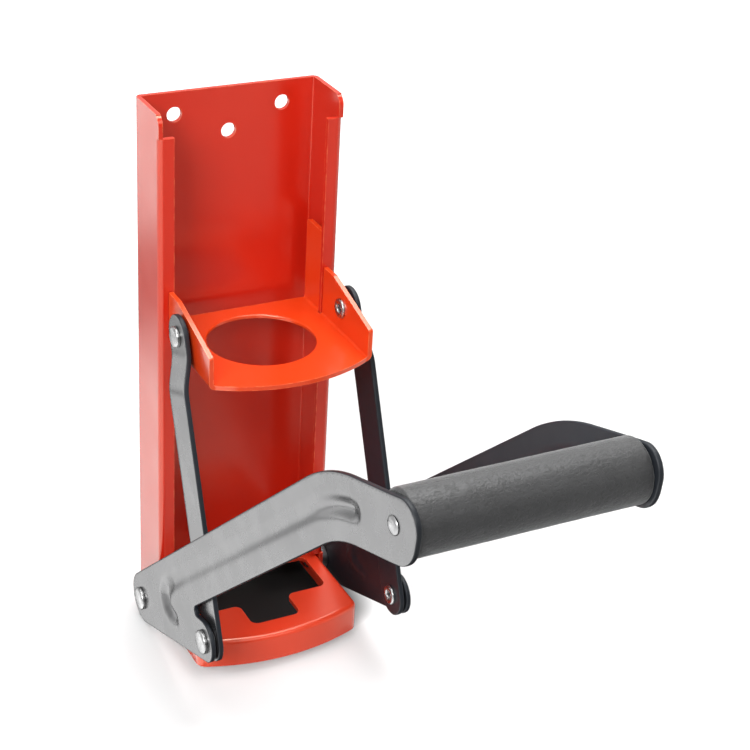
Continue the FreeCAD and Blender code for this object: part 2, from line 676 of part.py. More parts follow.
def main():
    os.makedirs("parts", exist_ok=True)
    for name, make in SINGLE_PIECES.items():
        make().exportStep("parts/" + name + ".step")
    for name, make in SIDE_PIECES.items():
        right = make()
        right.exportStep("parts/" + name + "_right.step")
        mirrored(right).exportStep("parts/" + name + "_left.step")


main()
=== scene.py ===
"""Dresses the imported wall-mounted can crusher with its finer pieces, finishes and studio.

Everything is in metres in the frame of the solids: X runs along the wall to the right,
+Y points into the wall and Z is up.  Sizes in the classes are in millimetres, as they are
for the solids.  "Depth" is the distance forward of the wall, so it is minus Y.  A point
of the side view is a complex number, depth + height j.
"""

import cmath
import json
import logging
import math
from contextlib import contextmanager
from dataclasses import dataclass, field, fields
from enum import Enum
from typing import Callable, Iterator, Optional, Sequence, Union

import bmesh
import bpy
from mathutils import Matrix, Vector, noise

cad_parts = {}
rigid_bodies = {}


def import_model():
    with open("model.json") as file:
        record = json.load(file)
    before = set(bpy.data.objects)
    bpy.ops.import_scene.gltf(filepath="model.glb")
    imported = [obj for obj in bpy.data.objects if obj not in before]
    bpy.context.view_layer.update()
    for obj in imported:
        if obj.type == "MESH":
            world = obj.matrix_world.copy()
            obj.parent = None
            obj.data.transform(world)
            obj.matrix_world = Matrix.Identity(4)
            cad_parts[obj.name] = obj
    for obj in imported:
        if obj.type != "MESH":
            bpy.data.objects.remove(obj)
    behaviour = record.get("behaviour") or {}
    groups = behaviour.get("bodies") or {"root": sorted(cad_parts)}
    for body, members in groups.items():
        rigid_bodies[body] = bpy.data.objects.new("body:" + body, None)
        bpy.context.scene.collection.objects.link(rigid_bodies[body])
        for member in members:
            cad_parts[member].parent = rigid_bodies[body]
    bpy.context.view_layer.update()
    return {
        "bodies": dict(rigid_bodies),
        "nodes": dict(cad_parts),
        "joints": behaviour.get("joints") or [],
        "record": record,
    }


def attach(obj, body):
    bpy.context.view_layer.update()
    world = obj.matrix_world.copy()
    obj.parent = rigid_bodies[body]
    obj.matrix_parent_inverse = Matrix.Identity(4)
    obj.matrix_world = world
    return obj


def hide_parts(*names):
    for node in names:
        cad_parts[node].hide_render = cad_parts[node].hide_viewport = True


MM = 0.001
SHEET = 2.2
HOLE = 3.06
LOG = logging.getLogger("can_crusher")

Piece = bpy.types.Object
Output = bpy.types.NodeSocket
Value = Union[Output, float]
Pair = tuple[float, float]
Triple = tuple[float, float, float]
Colour = Triple
Circle = tuple[complex, float]
Bead = tuple[complex, float, float]
Shine = tuple[tuple[str, object], ...]


class Side(Enum):
    """Right or left, seen from in front of the tool."""

    RIGHT = 1
    LEFT = -1


class Body(Enum):
    """The moving bodies of the tool."""

    FRAME = "frame"
    LEVER = "lever"
    PLATE = "plate"
    LEFT_LINK = "left_link_body"
    RIGHT_LINK = "right_link_body"

    def on(self, side: Side) -> "Body":
        """The body of a right-hand piece's twin on a side."""
        return Body.LEFT_LINK if (self, side) == (Body.RIGHT_LINK, Side.LEFT) else self


class Pivot(Enum):
    """Where the tool's axes are at rest."""

    FRAME = 20.2 + 7.5j
    LINK = 96.2 + 34.2j
    PLATE = 46.7 + 156.7j
    HANDLE = 255.1 + 188.9j

    def carry(self, piece: Piece, crease: float = 40.0) -> None:
        """Moves a turned piece from the X axis to this axis and shades it smooth."""
        mould(piece, lambda place: place + spot(0.0, self.value))
        smooth(piece, crease)


def spot(x: float, side: complex) -> Vector:
    """A place in metres, from its x and its point in the side view."""
    return Vector((x * MM, -side.real * MM, side.imag * MM))


# Modelling tools


class Part(Enum):
    """What edit mode selects: Blender's word for it, and where a mesh keeps it."""

    VERT = "verts"
    EDGE = "edges"
    FACE = "faces"


def select(*pieces: Piece) -> None:
    """Selects pieces and nothing else, and makes the first one active.

    Args:
        pieces: The pieces. None at all leaves nothing selected.
    """
    bpy.ops.object.select_all(action="DESELECT")
    for piece in pieces:
        piece.select_set(True)
        bpy.context.view_layer.objects.active = pieces[0]


def added(name: str) -> Piece:
    """The primitive that has just been added, now named."""
    bpy.context.object.name = bpy.context.object.data.name = name
    return bpy.context.object


@contextmanager
def editing(piece: Piece) -> Iterator[None]:
    """Opens a piece in edit mode, with all of it selected, and closes it again.

    Args:
        piece: The mesh object to shape.

    Returns:
        Nothing to use: the piece is open while the block runs.
    """
    select(piece)
    bpy.ops.object.mode_set(mode="EDIT")
    bpy.ops.mesh.select_mode(type="VERT")
    bpy.ops.mesh.select_all(action="SELECT")
    yield
    bpy.ops.object.mode_set(mode="OBJECT")


def pick(part: Part, test: Callable[..., bool]) -> None:
    """Selects the parts of the open mesh that pass a test and nothing else.

    Args:
        part: What to select.
        test: Says whether a vertex, edge or face is wanted.
    """
    bpy.ops.mesh.select_mode(type=part.name)
    bpy.ops.mesh.select_all(action="DESELECT")
    data = bpy.context.edit_object.data
    for item in getattr(bmesh.from_edit_mesh(data), part.value):
        item.select_set(test(item))
    bmesh.update_edit_mesh(data)


def mould(piece: Piece, move: Callable[[Vector], Vector]) -> None:
    """Moves every vertex to where a function of its place says.

    Args:
        piece: The mesh object.
        move: Gives a vertex's new place from its old one.
    """
    for vertex in piece.data.vertices:
        vertex.co = move(vertex.co)
    piece.data.update()


def seal(piece: Piece, gap: float = 1e-6) -> None:
    """Merges doubled vertices and points every face outwards.

    Args:
        piece: The mesh object.
        gap: Vertices nearer than this are merged.
    """
    with editing(piece):
        bpy.ops.mesh.remove_doubles(threshold=gap)
        bpy.ops.mesh.select_all(action="SELECT")
        bpy.ops.mesh.normals_make_consistent(inside=False)


def modify(piece: Piece, kind: str, **settings: object) -> None:
    """Adds a modifier to a piece and applies it.

    Args:
        piece: The mesh object.
        kind: Blender's name for the modifier.
        settings: Its options.
    """
    modifier = piece.modifiers.new(kind, kind)
    for key, value in settings.items():
        setattr(modifier, key, value)
    select(piece)
    bpy.ops.object.modifier_apply(modifier=modifier.name)


def smooth(piece: Piece, crease: float) -> None:
    """Shades a piece smooth, with creases where faces meet at more than an angle."""
    select(piece)
    bpy.ops.object.shade_smooth_by_angle(angle=math.radians(crease))


def turned_piece(name: str, profile: Sequence[Pair], steps: int = 56) -> Piece:
    """Spins a profile round the X axis, as on a lathe.

    Args:
        name: Name of the new object.
        profile: (x, radius) points, from one end to the other.
        steps: Facets round the axis.

    Returns:
        The turned piece, its axis on the X axis of the world.
    """
    select()
    bpy.ops.mesh.primitive_plane_add(size=MM)
    piece = added(name)
    with editing(piece):
        pick(Part.VERT, lambda vertex: vertex.index > 0)
        bpy.ops.mesh.delete(type="VERT")
    x, radius = profile[0]
    piece.data.vertices[0].co = (x * MM, 0.0, radius * MM)
    with editing(piece):
        for next_x, next_radius in profile[1:]:
            step = ((next_x - x) * MM, 0.0, (next_radius - radius) * MM)
            bpy.ops.mesh.extrude_vertices_move(TRANSFORM_OT_translate={"value": step})
            x, radius = next_x, next_radius
        bpy.ops.mesh.select_all(action="SELECT")
        bpy.ops.mesh.spin(steps=steps, angle=2 * math.pi, center=(0, 0, 0), axis=(1, 0, 0))
    seal(piece)
    return piece


def copy_of(piece: Piece, name: str) -> Piece:
    """Copies a piece.

    Args:
        piece: What to copy.
        name: Name of the copy.

    Returns:
        The copy, with its own mesh, linked into the scene.
    """
    twin = piece.copy()
    twin.data = piece.data.copy()
    twin.name = twin.data.name = name
    bpy.context.scene.collection.objects.link(twin)
    return twin


def left_twin(right: Piece) -> Piece:
    """Mirrors a right-hand piece across the middle of the tool.

    Args:
        right: The right-hand piece, whose name ends in _right.

    Returns:
        The left-hand piece, its faces outwards.
    """
    left = copy_of(right, right.name.replace("_right", "_left"))
    mould(left, lambda place: Vector((-place.x, place.y, place.z)))
    with editing(left):
        bpy.ops.mesh.flip_normals()
    return left


# Finishes


@dataclass(frozen=True)
class Grain:
    """Noise in an object's own space: cells per metre, octaves, and the range that is used."""

    scale: float
    detail: float = 3.0
    roughness: float = 0.55
    low: float = 0.0
    high: float = 1.0
    stretch: Triple = (1.0, 1.0, 1.0)


Relief = tuple[tuple[Grain, float], ...]


class NodeDesk:
    """Adds and joins the shader nodes of a material or of the surroundings."""

    def __init__(self, holder: Union[bpy.types.Material, bpy.types.World]) -> None:
        """Starts with no nodes.

        Args:
            holder: The new material or surroundings.
        """
        self.holder = holder
        holder.use_nodes = True
        self.tree = holder.node_tree
        self.tree.nodes.clear()

    def feed(self, socket: Output, value: object) -> None:
        """Gives an input its value.

        Args:
            socket: The input.
            value: A number, vector or colour, the output or node to join to it, or None.
        """
        if isinstance(value, bpy.types.Node):
            value = value.outputs[0]
        if isinstance(value, Output):
            self.tree.links.new(value, socket)
        elif value is not None:
            socket.default_value = (*value, 1.0) if socket.type == "RGBA" else value

    def add(self, kind: str, *values: object, settings: Optional[dict[str, object]] = None,
            **sockets: object) -> bpy.types.Node:
        """Adds a node.

        Args:
            kind: Blender's name for the node, without ShaderNode.
            values: What its first inputs get.
            settings: Its options.
            sockets: What inputs get by name, with spaces written as "_".

        Returns:
            The node.
        """
        node = self.tree.nodes.new("ShaderNode" + kind)
        for key, option in (settings or {}).items():
            setattr(node, key, option)
        pairs = [*zip(node.inputs, values),
                 *((node.inputs[key.replace("_", " ")], value) for key, value in sockets.items())]
        for socket, value in pairs:
            self.feed(socket, value)
        return node

    def place(self) -> Output:
        """The place in the object's own space."""
        return self.add("TexCoord").outputs["Object"]

    def sum(self, operation: str, *values: Value) -> Output:
        """A step of arithmetic, by Blender's name for it."""
        return self.add("Math", *values, settings={"operation": operation}).outputs[0]

    def vectors(self, operation: str, *values: object) -> bpy.types.NodeOutputs:
        """The outputs Vector and Value of a step with vectors, by Blender's name for it."""
        return self.add("VectorMath", *values, settings={"operation": operation}).outputs

    def band(self, value: Output, low: float, high: float, to_low: Value, to_high: Value,
             easing: str = "LINEAR") -> Output:
        """Maps a value from one range to another, held at its ends."""
        return self.add("MapRange", value, low, high, to_low, to_high,
                        settings={"interpolation_type": easing}).outputs[0]

    def patches(self, grain: Grain, to_low: float = 0.0, to_high: float = 1.0) -> Output:
        """Noise in the object's own space.

        Args:
            grain: Its cells, and which of its values are used.
            to_low: Result at the lowest of these.
            to_high: Result at the highest.

        Returns:
            The mapped noise.
        """
        mapped = self.add("Mapping", Vector=self.place(), Scale=grain.stretch)
        cells = self.add("TexNoise", Vector=mapped, Scale=grain.scale, Detail=grain.detail,
                         Roughness=grain.roughness)
        return self.band(cells.outputs["Fac"], grain.low, grain.high, to_low, to_high)

    def blend(self, share: Output, first: object, second: object) -> Output:
        """Mixes a share of a second colour or output into a first one."""
        return self.add("Mix", share, *[None] * 5, first, second,
                        settings={"data_type": "RGBA"}).outputs[2]

    def near_edge(self, radius: float) -> Output:
        """Finds edges by how far a rounded normal turns away from the true one.

        Args:
            radius: Reach of an edge, in metres.

        Returns:
            1 on edges, and 0 away from them.
        """
        turned, level, samples = 0.88, 0.995, 6
        rounded = self.add("Bevel", settings={"samples": samples}, Radius=radius)
        same = self.vectors("DOT_PRODUCT", rounded, self.add("NewGeometry").outputs["Normal"])
        return self.band(same["Value"], turned, level, 1.0, 0.0)

    def bump(self, height: Output, depth: float, under: Optional[Output]) -> Output:
        """The normal of a surface raised by a share of a depth, from the normal under it."""
        return self.add("Bump", Height=height, Strength=1.0, Distance=depth,
                        Normal=under).outputs["Normal"]

    def close(self, output: str, shader: bpy.types.Node) -> bpy.types.ID:
        """Joins the last shader to the output and hands over what the nodes are for."""
        self.add(output, Surface=shader)
        return self.holder


@dataclass(frozen=True)
class Finish:
    """Two drifting tones, a third in spots or on edges, uneven gloss and fine relief. A lighter
    third on edges is partly worn paint and partly a painted edge highlight.

    The relief is noise and its depth in metres, the coarsest first, and the shine is what
    other inputs of the shader get.
    """

    name: str
    first: Colour
    second: Colour
    third: Optional[Colour] = None
    cloud: Grain = Grain(9.0, 2.0, low=0.35, high=0.65)
    spots: Grain = Grain(260.0, low=0.42, high=0.6)
    spot_share: Pair = (0.08, 0.6)
    edge: float = 0.0
    roughness: float = 0.2
    haze: Grain = Grain(40.0, 3.0, 0.5, 0.25, 0.75)
    haze_range: Pair = (-0.03, 0.06)
    relief: Relief = ()
    shine: Shine = ()

    def make(self) -> bpy.types.Material:
        """Builds the material.

        Returns:
            The material.
        """
        desk = NodeDesk(bpy.data.materials.new(self.name))
        tone = desk.blend(desk.patches(self.cloud), self.first, self.second)
        # The third tone: on edges partly wear and partly a painted edge highlight; in the foam's
        # pores painted shade.
        if self.third:
            share = desk.patches(self.spots, *self.spot_share)
            if self.edge:
                share = desk.sum("MULTIPLY", desk.near_edge(self.edge), share)
            tone = desk.blend(share, tone, self.third)
        gloss = desk.patches(self.haze, *(self.roughness + step for step in self.haze_range))
        normal = None
        for grain, depth in self.relief:
            normal = desk.bump(desk.patches(grain), depth, normal)
        return desk.close("OutputMaterial", desk.add(
            "BsdfPrincipled", Base_Color=tone, Roughness=gloss, Normal=normal,
            Coat_Normal=normal, **dict(self.shine)))


@dataclass(frozen=True)
class PowderCoat(Finish):
    """Glossy baked powder paint: faint orange peel, slight tone drift and lighter edges, partly
    worn paint and partly a painted edge highlight.
    """

    edge: float = 0.0007
    relief: Relief = ((Grain(620.0, 2.0, 0.4), 0.000012),)
    shine: Shine = (
        ("IOR", 1.75), ("Coat_Weight", 0.12), ("Coat_Roughness", 0.12), ("Coat_IOR", 1.5),
        ("Specular_Tint", (1.0, 0.84, 0.64)))


@dataclass(frozen=True)
class SatinPaint(Finish):
    """Fine-grained dark paint with a metallic pigment on flat steel."""

    cloud: Grain = Grain(14.0, low=0.35, high=0.68)
    spots: Grain = Grain(300.0, low=0.45, high=0.62)
    edge: float = 0.0005
    roughness: float = 0.27
    haze: Grain = Grain(70.0, 4.0, low=0.3, high=0.75)
    haze_range: Pair = (-0.03, 0.04)
    relief: Relief = (
        (Grain(700.0, 2.0, 0.5), 0.0000013), (Grain(2600.0, 2.0, 0.6), 0.0000013 / 3))
    shine: Shine = (("Metallic", 0.08), ("IOR", 2.09))


@dataclass(frozen=True)
class PlatedSteel(Finish):
    """Bright zinc or nickel plate with fine marks of the rivet press."""

    cloud: Grain = Grain(420.0, 4.0, 0.6, 0.35, 0.7)
    roughness: float = 0.27
    haze: Grain = Grain(700.0, 4.0, low=0.3, high=0.75)
    haze_range: Pair = (-0.06, 0.12)
    relief: Relief = ((Grain(900.0), 0.000015),)
    shine: Shine = (("Metallic", 1.0),)


PORES = Grain(900.0, 4.0, 0.7, 0.33, 0.52, (0.7, 1.0, 1.0))


@dataclass(frozen=True)
class FoamSkin(Finish):
    """Closed-cell foam with a dull skin, open pores painted darker as painted shade, and faint
    creases.
    """

    # Pores darken towards this colour: painted shade in the pores.
    third: Colour = (0.008, 0.008, 0.008)
    cloud: Grain = Grain(90.0, 5.0, 0.65, 0.35, 0.75)
    spots: Grain = PORES
    spot_share: Pair = (1.0, 0.0)
    roughness: float = 0.44
    haze: Grain = PORES
    haze_range: Pair = (0.16, 0.0)
    relief: Relief = (
        (Grain(210.0, 5.0, 0.62, stretch=(0.8, 1.3, 1.3)), 0.00027), (PORES, 0.00007))
    shine: Shine = (
        ("IOR", 1.6), ("Sheen_Weight", 0.42), ("Sheen_Roughness", 0.4),
        ("Sheen_Tint", (0.9, 0.92, 0.92)))


@dataclass(frozen=True)
class StudioWhite:
    """Pale floor: near white to the camera, with the tool's shadow kept, and a painted shadow
    darkening it in a soft patch under the tray.
    """

    name: str = "floor white"
    colour: Colour = (0.55, 0.55, 0.55)
    # under is the colour of the painted shadow; shade_centre, shade_reach and shade_edge place it.
    under: Colour = (0.03, 0.03, 0.03)
    glow: float = 0.28
    glow_reach: Pair = (0.25, 1.1)
    shade_centre: Pair = (0.010, -0.021)
    shade_reach: Pair = (0.050, 0.045)
    shade_edge: Pair = (0.35, 1.1)

    def make(self) -> bpy.types.Material:
        """Builds the material.

        Returns:
            The material.
        """
        desk = NodeDesk(bpy.data.materials.new(self.name))
        place = desk.place()
        reach = (*self.shade_reach, 1.0)
        shift = tuple(-c / r for c, r in zip((*self.shade_centre, 0.0), reach))
        value = desk.add("Mapping", Vector=place, Location=shift,
                         Scale=tuple(1.0 / r for r in reach)).outputs["Vector"]
        for _ in range(2):
            value = desk.vectors("MULTIPLY", value, value)["Vector"]
        total = desk.vectors("DOT_PRODUCT", value, (1.0, 1.0, 0.0))["Value"]
        # Painted shadow: inside the patch the floor takes the dark colour and loses its glow.
        outside = desk.band(total, *self.shade_edge, 0.0, 1.0)
        matt = desk.add("BsdfDiffuse", Color=desk.blend(outside, self.under, self.colour))
        far = desk.vectors("LENGTH", place)["Value"]
        glow = desk.band(far, *self.glow_reach, self.glow, 1.0)
        lamp = desk.add("Emission", Strength=desk.sum("MULTIPLY", outside, glow))
        both = desk.add("AddShader", matt, lamp)
        seen = desk.add("LightPath").outputs["Is Camera Ray"]
        return desk.close("OutputMaterial", desk.add("MixShader", seen, matt, both))


@dataclass(frozen=True)
class Finishes:
    """Every finish of the tool, under the record's name for it."""

    # The third colour of each paint lightens its edges: partly wear, partly a painted edge
    # highlight.
    frame_paint: Finish = PowderCoat(
        "channel red powder coat", (0.52, 0.014, 0.005), (0.58, 0.020, 0.007), (0.86, 0.22, 0.09))
    tray_paint: Finish = PowderCoat(
        "tray orange-red powder coat", (0.67, 0.046, 0.007), (0.74, 0.064, 0.008),
        (0.92, 0.22, 0.08))
    base_paint: Finish = PowderCoat(
        "base red powder coat", (0.69, 0.042, 0.016), (0.76, 0.054, 0.020), (0.92, 0.20, 0.10))
    arm_paint: Finish = SatinPaint(
        "arm grey paint", (0.024, 0.024, 0.026), (0.032, 0.032, 0.034), (0.12, 0.12, 0.12))
    # Darker, rougher copy of the arm paint for inner faces and cut edges: painted shade, not
    # another paint.
    arm_back: Finish = SatinPaint(
        "arm edge and inner face paint", (0.010, 0.012, 0.015), (0.015, 0.018, 0.024),
        (0.05, 0.05, 0.05), roughness=0.45, shine=(("Metallic", 0.0), ("IOR", 1.36)),
        relief=((Grain(700.0, 2.0, 0.5), 0.000006), (Grain(2600.0, 2.0, 0.6), 0.000002)))
    rivet_steel: Finish = PlatedSteel("bright rivet plate", (0.42, 0.42, 0.42), (0.27, 0.27, 0.27))
    washer_steel: Finish = PlatedSteel(
        "washer zinc", (0.36, 0.36, 0.37), (0.24, 0.24, 0.25), roughness=0.34)
    bar_steel: Finish = PlatedSteel(
        "crossbar steel", (0.42, 0.42, 0.425), (0.27, 0.27, 0.27), roughness=0.28)
    grip_foam: Finish = FoamSkin("grip foam", (0.014, 0.014, 0.0145), (0.024, 0.024, 0.025))

    def make(self) -> dict[str, bpy.types.Material]:
        """Builds every material, by its name here."""
        return {slot.name: getattr(self, slot.name).make() for slot in fields(self)}


# The whole job


@dataclass
class Workshop:
    """What every sub-assembly needs: the solids and the finishes."""

    nodes: dict[str, Piece]
    finishes: dict[str, bpy.types.Material]

    def fit(self, piece: Piece, body: Body, slot: str, node: str,
            finish: Optional[str] = None) -> None:
        """Dresses a finished piece and joins it to the frame.

        Args:
            piece: The finished mesh object.
            body: The body that it moves with.
            slot: The record's name of its finish.
            node: The solid that it replaces.
            finish: Another finish to wear instead.
        """
        faces = piece.data.polygons
        piece.data.materials.clear()
        piece.data.materials.append(self.finishes[finish or slot])
        faces.foreach_set("material_index", [0] * len(faces))
        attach(piece, body.value)
        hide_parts(node)
        LOG.info("made %s: %d faces, on %s, for %s", piece.name, len(faces), body.value, node)

    def fit_pair(self, right: Piece, body: Body, slot: str, node: str,
                 painted_shade_inside: bool = False) -> None:
        """Fits a right-hand piece and its left-hand twin.

        Args:
            right: The finished right-hand piece.
            body: The body that it moves with.
            slot: The record's name of its finish.
            node: The solids that the two replace, without their side.
            painted_shade_inside: Whether inner faces and cut edges take a darker copy of the
                paint, which is painted shade.
        """
        for piece, side in zip((right, left_twin(right)), Side):
            self.fit(piece, body.on(side), slot, f"{node}_{side.name.lower()}")
            if painted_shade_inside:
                # The darker copy on faces not turned outwards is painted shade.
                piece.data.materials.append(self.finishes["arm_back"])
                for face in piece.data.polygons:
                    face.material_index = int(face.normal.x * side.value < 0.8)


@dataclass
class Assembly:
    """A part of the tool that is made at a workshop."""

    shop: Workshop


@dataclass
class SheetWork(Assembly):
    """The folded and pressed sheets, with the soft edges that a powder coat leaves."""

    edge_radius: float = 0.35
    edge_angle: float = 40.0
    flat_angle: float = 0.6
    crease: float = 30.0

    def soften(self, solid: Piece, name: str) -> Piece:
        """Copies a solid's sheet and rounds its cut edges.

        Args:
            solid: The solid to copy.
            name: Name of the new piece.

        Returns:
            The finished piece.
        """
        piece = copy_of(solid, name)
        for key in list(piece.keys()):
            del piece[key]
        piece.parent = None
        with editing(piece):
            bpy.ops.mesh.customdata_custom_splitnormals_clear()
            bpy.ops.mesh.remove_doubles(threshold=1e-6)
            bpy.ops.mesh.select_all(action="SELECT")
            bpy.ops.mesh.dissolve_limited(angle_limit=math.radians(self.flat_angle))
        modify(piece, "BEVEL", width=self.edge_radius * MM, segments=3, limit_method="ANGLE",
               angle_limit=math.radians(self.edge_angle), use_clamp_overlap=True)
        smooth(piece, self.crease)
        modify(piece, "WEIGHTED_NORMAL", keep_sharp=True, weight=90)
        return piece

    def build(self) -> None:
        """Makes the channel, the tray and the crush plate."""
        for name, body, slot, node, finish in (
                ("back_channel_sheet", Body.FRAME, "frame_paint", "frame_channel", None),
                ("base_tray_pressing", Body.FRAME, "tray_paint", "base_tray", "base_paint"),
                ("crush_plate_pressing", Body.PLATE, "tray_paint", "crush_plate", None)):
            piece = self.soften(self.shop.nodes[node], name)
            self.shop.fit(piece, body, slot, node, finish)


# Flat stock


@dataclass(frozen=True)
class Run:
    """A straight direction in the side view: where it starts and where it heads."""

    start: complex
    heading: float

    def onto(self, point: complex) -> complex:
        """Turns a point into along + across j."""
        return (point - self.start) * cmath.rect(1.0, -self.heading)

    def off(self, point: complex) -> complex:
        """Turns along + across j back into a point."""
        return self.start + point * cmath.rect(1.0, self.heading)


def flat(point: Vector) -> complex:
    """The point of flat stock under or over a place, along + across j."""
    return complex(point.x, point.y)


@dataclass
class FlatStock:
    """A strip cut from flat steel: its outline, holes, thickness and rounded rim.

    The outline runs counter-clockwise round circles, given by middle and radius, that their
    common tangents join.  A hollow's radius is negative.
    """

    circles: Sequence[Circle]
    holes: Sequence[complex]
    rim: float = 0.55
    cell: float = 1.0
    spacing: float = 1.0
    hole_steps: int = 28
    blade: float = 3.0
    rim_cuts: int = 6
    near: float = 1.2
    outline: list[complex] = field(init=False)
    edges: list[tuple[complex, complex]] = field(init=False)

    def __post_init__(self) -> None:
        """Draws the outline, one rim radius inside the strip's true edge."""
        shrunk = [(middle, radius - self.rim) for middle, radius in self.circles]
        headings = []
        for (start, start_radius), (end, end_radius) in zip(shrunk, shrunk[1:] + shrunk[:1]):
            span, heading = cmath.polar(end - start)
            headings.append(heading - math.asin((end_radius - start_radius) / span))
        self.outline = []
        for index, (middle, radius) in enumerate(shrunk):
            turn = (headings[index] - headings[index - 1]) % (2 * math.pi)
            if radius < 0:
                turn -= 2 * math.pi
            count = max(2, math.ceil(abs(radius * turn) / self.spacing))
            for step in range(count + 1):
                angle = headings[index - 1] + turn * step / count
                self.outline.append(middle + radius * complex(math.sin(angle), -math.cos(angle)))
        self.edges = list(zip(self.outline, self.outline[1:] + self.outline[:1]))

    def make(self, name: str) -> Piece:
        """Cuts and thickens the strip, and rounds its rim.

        Args:
            name: Name of the new object.

        Returns:
            The strip in millimetres, flat in the XY plane, its outer face at z = 0.
        """
        strip = self._cut(name)
        with editing(strip):
            bpy.ops.mesh.extrude_region_move(TRANSFORM_OT_translate={"value": (0, 0, -SHEET)})
            pick(Part.EDGE, lambda edge: abs(edge.verts[0].co.z - edge.verts[1].co.z) > 0.5)
            bpy.ops.mesh.subdivide(number_cuts=self.rim_cuts)
        seal(strip, 1e-4)
        spaces = self.rim_cuts + 1
        for vertex in strip.data.vertices:
            place = vertex.co
            level = round(-place.z / SHEET * spaces)
            if level in (0, spaces) or abs(place.z * spaces / SHEET + level) > 0.05:
                continue
            angle = min(level, spaces - level) * math.pi / self.rim_cuts
            drop = self.rim * (1.0 - math.cos(angle))
            out = self._outward(flat(place)) * self.rim * math.sin(angle)
            vertex.co = (place.x + out.real, place.y + out.imag,
                         -drop if 2 * level < spaces else drop - SHEET)
        return strip

    def _cutter(self) -> Piece:
        """Upright walls along the outline and round the holes, to cut a sheet with.

        Returns:
            The walls, as one piece.
        """
        turns = [2 * math.pi * step / self.hole_steps for step in range(self.hole_steps)]
        walls = []
        for ring in (self.outline, *([hole + cmath.rect(HOLE, turn) for turn in turns]
                                     for hole in self.holes)):
            select()
            bpy.ops.mesh.primitive_circle_add(vertices=len(ring), radius=1.0, fill_type="NGON")
            walls.append(added("cutter"))
            for vertex, point in zip(walls[-1].data.vertices, ring):
                vertex.co = (point.real, point.imag, -self.blade)
            with editing(walls[-1]):
                bpy.ops.mesh.extrude_region_move(
                    TRANSFORM_OT_translate={"value": (0, 0, 2 * self.blade)})
            seal(walls[-1])
        select(*walls)
        bpy.ops.object.join()
        return walls[0]

    def _cut(self, name: str) -> Piece:
        """Cuts the outline and the holes out of a finely gridded sheet.

        Args:
            name: Name of the new object.

        Returns:
            The flat strip.
        """
        sides = [[point.real for point in self.outline], [point.imag for point in self.outline]]
        low = [min(side) - 2 * self.cell for side in sides]
        size = [max(side) + 2 * self.cell - start for side, start in zip(sides, low)]
        cells = [math.ceil(length / self.cell) for length in size]
        cutter = self._cutter()
        select()
        bpy.ops.mesh.primitive_grid_add(x_subdivisions=cells[0], y_subdivisions=cells[1], size=1.0)
        sheet = added(name)
        mould(sheet, lambda place: Vector((low[0] + (place.x + 0.5) * size[0],
                                           low[1] + (place.y + 0.5) * size[1], 0.0)))
        for piece in (sheet, cutter):
            for parts in (piece.data.vertices, piece.data.edges, piece.data.polygons):
                parts.foreach_set("select", [piece is cutter] * len(parts))
        select(sheet, cutter)
        bpy.ops.object.join()
        bpy.ops.object.mode_set(mode="EDIT")
        bpy.ops.mesh.select_mode(type="FACE")
        bpy.ops.mesh.intersect(mode="SELECT_UNSELECT", separate_mode="ALL", solver="EXACT")
        bpy.ops.object.mode_set(mode="OBJECT")
        with editing(sheet):
            pick(Part.FACE, self._is_waste)
            bpy.ops.mesh.delete(type="FACE")
            bpy.ops.mesh.select_all(action="SELECT")
            bpy.ops.mesh.remove_doubles(threshold=0.02)
        return sheet

    def _is_waste(self, face: bmesh.types.BMFace) -> bool:
        """Whether a face of the cut sheet goes.

        Args:
            face: The face.

        Returns:
            True outside the outline, in a hole, and on the cutter.
        """
        middle = flat(face.calc_center_median())
        across = [a for a, b in self.edges if (a.imag > middle.imag) != (b.imag > middle.imag)
                  and (middle - a).real < (middle - a).imag * (b - a).real / (b - a).imag]
        return (any(abs(vertex.co.z) > 1e-4 for vertex in face.verts)
                or any(abs(middle - hole) < HOLE for hole in self.holes) or len(across) % 2 == 0)

    def _outward(self, point: complex) -> complex:
        """Outward direction of the outline near a point, smoothed over its neighbours.

        Args:
            point: The point.

        Returns:
            The direction, or 0 far from the outline.
        """
        total = 0j
        for start, end in self.edges:
            step = end - start
            if abs(step) > 1e-9:
                share = min(1.0, max(0.0, ((point - start) / step).real))
                distance = abs(point - start - share * step)
                if distance < self.near:
                    total -= 1j * step / abs(step) / (0.05 + distance) ** 2
        return total / (abs(total) or 1.0)


def stand(strip: Piece, run: Run, side: Callable[[Vector], float]) -> Piece:
    """Stands flat stock in its place on the tool.

    Args:
        strip: The stock.
        run: Where its length runs.
        side: How far to the right a point of it goes.

    Returns:
        The finished piece.
    """
    mould(strip, lambda point: spot(side(point), run.off(flat(point))))
    seal(strip, 1e-7)
    smooth(strip, 50.0)
    return strip


